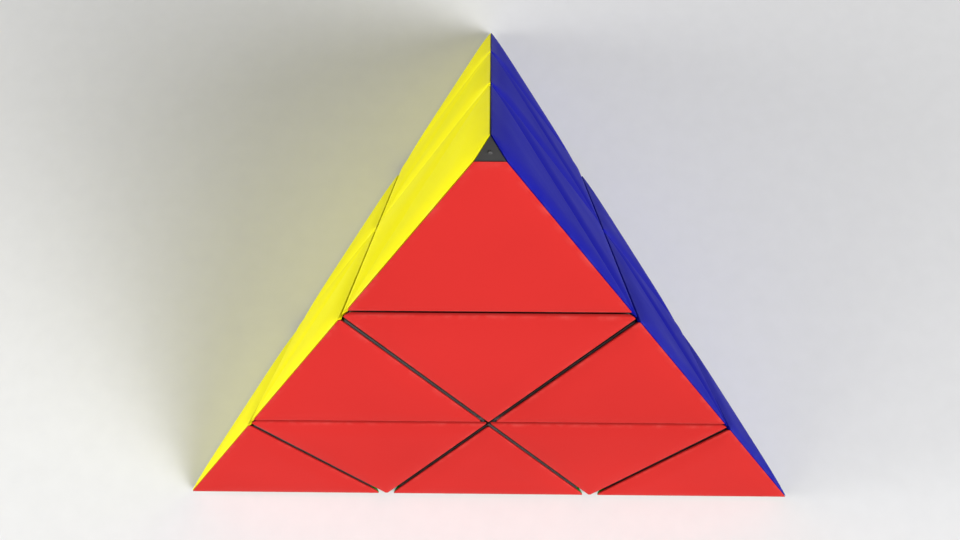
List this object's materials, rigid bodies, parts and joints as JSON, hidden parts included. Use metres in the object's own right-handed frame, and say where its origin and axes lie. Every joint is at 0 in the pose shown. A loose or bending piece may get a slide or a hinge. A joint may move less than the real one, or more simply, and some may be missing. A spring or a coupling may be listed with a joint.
{
  "type": "pyramid twisty puzzle",
  "caption": "Pyramid twisty puzzle: tips, axial bodies and edge bodies with coloured tiles turn on a sprung core.",
  "frame": {"origin": "centre of the core, where the four turning axes meet", "axes": "+Z to the top corner, square to the base side; +X from the left corner to the right corner; -Y out of the front side"},
  "size_m": [0.098, 0.0849, 0.0785],
  "materials": {
    "body_plastic": "dark grey moulded plastic, satin",
    "red_plastic": "red moulded plastic, semi-gloss",
    "yellow_plastic": "yellow moulded plastic, semi-gloss",
    "blue_plastic": "blue moulded plastic, semi-gloss",
    "green_plastic": "green moulded plastic, semi-gloss",
    "screw_steel": "zinc plated steel",
    "spring_steel": "drawn spring wire"
  },
  "bodies": {
    "core_and_lower_layers": {"axial_back": "body_plastic", "axial_left": "body_plastic", "axial_right": "body_plastic", "core": "body_plastic", "edge_left_back": "body_plastic", "edge_left_right": "body_plastic", "edge_right_back": "body_plastic", "screw_back": "screw_steel", "screw_left": "screw_steel", "screw_right": "screw_steel", "screw_top": "screw_steel", "spring_back": "spring_steel", "spring_left": "spring_steel", "spring_right": "spring_steel", "spring_top": "spring_steel", "tile_base_axial_back": "green_plastic", "tile_base_axial_left": "green_plastic", "tile_base_axial_right": "green_plastic", "tile_base_edge_left_back": "green_plastic", "tile_base_edge_left_right": "green_plastic", "tile_base_edge_right_back": "green_plastic", "tile_front_axial_left": "red_plastic", "tile_front_axial_right": "red_plastic", "tile_front_edge_left_right": "red_plastic", "tile_left_axial_back": "yellow_plastic", "tile_left_axial_left": "yellow_plastic", "tile_left_edge_left_back": "yellow_plastic", "tile_right_axial_back": "blue_plastic", "tile_right_axial_right": "blue_plastic", "tile_right_edge_right_back": "blue_plastic"},
    "top_layer": {"axial_top": "body_plastic", "edge_top_back": "body_plastic", "edge_top_left": "body_plastic", "edge_top_right": "body_plastic", "tile_front_axial_top": "red_plastic", "tile_front_edge_top_left": "red_plastic", "tile_front_edge_top_right": "red_plastic", "tile_left_axial_top": "yellow_plastic", "tile_left_edge_top_back": "yellow_plastic", "tile_left_edge_top_left": "yellow_plastic", "tile_right_axial_top": "blue_plastic", "tile_right_edge_top_back": "blue_plastic", "tile_right_edge_top_right": "blue_plastic"},
    "top_tip": {"tile_front_tip_top": "red_plastic", "tile_left_tip_top": "yellow_plastic", "tile_right_tip_top": "blue_plastic", "tip_top": "body_plastic"},
    "left_tip": {"tile_base_tip_left": "green_plastic", "tile_front_tip_left": "red_plastic", "tile_left_tip_left": "yellow_plastic", "tip_left": "body_plastic"},
    "right_tip": {"tile_base_tip_right": "green_plastic", "tile_front_tip_right": "red_plastic", "tile_right_tip_right": "blue_plastic", "tip_right": "body_plastic"},
    "back_tip": {"tile_base_tip_back": "green_plastic", "tile_left_tip_back": "yellow_plastic", "tile_right_tip_back": "blue_plastic", "tip_back": "body_plastic"}
  },
  "joints": [
    {"name": "top_layer_turn", "type": "hinge", "parent": "core_and_lower_layers", "child": "top_layer", "pos_m": [0, 0, 0], "axis": [0, 0, 1], "continuous": true},
    {"name": "top_tip_turn", "type": "hinge", "parent": "top_layer", "child": "top_tip", "pos_m": [0, 0, 0], "axis": [0, 0, 1], "continuous": true},
    {"name": "left_tip_turn", "type": "hinge", "parent": "core_and_lower_layers", "child": "left_tip", "pos_m": [0, 0, 0], "axis": [-0.8165, -0.4714, -0.3333], "continuous": true},
    {"name": "right_tip_turn", "type": "hinge", "parent": "core_and_lower_layers", "child": "right_tip", "pos_m": [0, 0, 0], "axis": [0.8165, -0.4714, -0.3333], "continuous": true},
    {"name": "back_tip_turn", "type": "hinge", "parent": "core_and_lower_layers", "child": "back_tip", "pos_m": [0, 0, 0], "axis": [0, 0.9428, -0.3333], "continuous": true}
  ]
}
